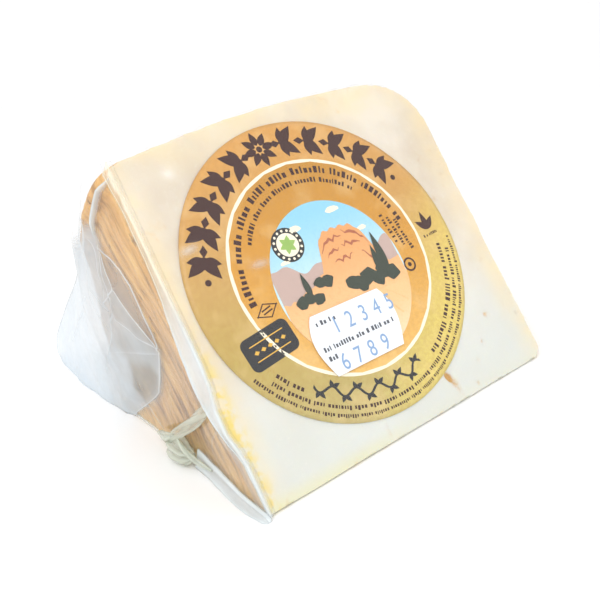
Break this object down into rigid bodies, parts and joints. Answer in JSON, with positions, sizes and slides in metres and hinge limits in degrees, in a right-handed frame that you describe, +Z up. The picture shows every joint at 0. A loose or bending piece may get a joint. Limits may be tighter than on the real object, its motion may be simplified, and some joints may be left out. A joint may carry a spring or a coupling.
{
  "type": "vacuum-packed wedge of aged sheep cheese",
  "caption": "Wedge of aged sheep's milk cheese lying on a cut face in a tight clear bag with a loose folded ear, with a round label on the upper cut face and a small lot sticker.",
  "frame": {"origin": "middle of the bounding box on the plane that the pack lies on", "axes": "+X along the wedge's thin edge, which is the wheel's axis, +Y from the thin edge to the rim, +Z up"},
  "size_m": [0.1014, 0.1428, 0.0796],
  "materials": {
    "cheese": "ivory paste on the cut faces, tan striated rind on the sector faces and the rim",
    "label_paper": "printed paper, orange gold to olive yellow round the ring, gold inside",
    "sticker_paper": "white paper with grey bars and pale blue stamped digits",
    "clear_film": "thin clear film, milky where it is folded"
  },
  "bodies": {
    "root": {"cheese_wedge": "cheese", "round_label": "label_paper", "lot_sticker": "sticker_paper", "film_wrap": "clear_film"}
  },
  "joints": []
}
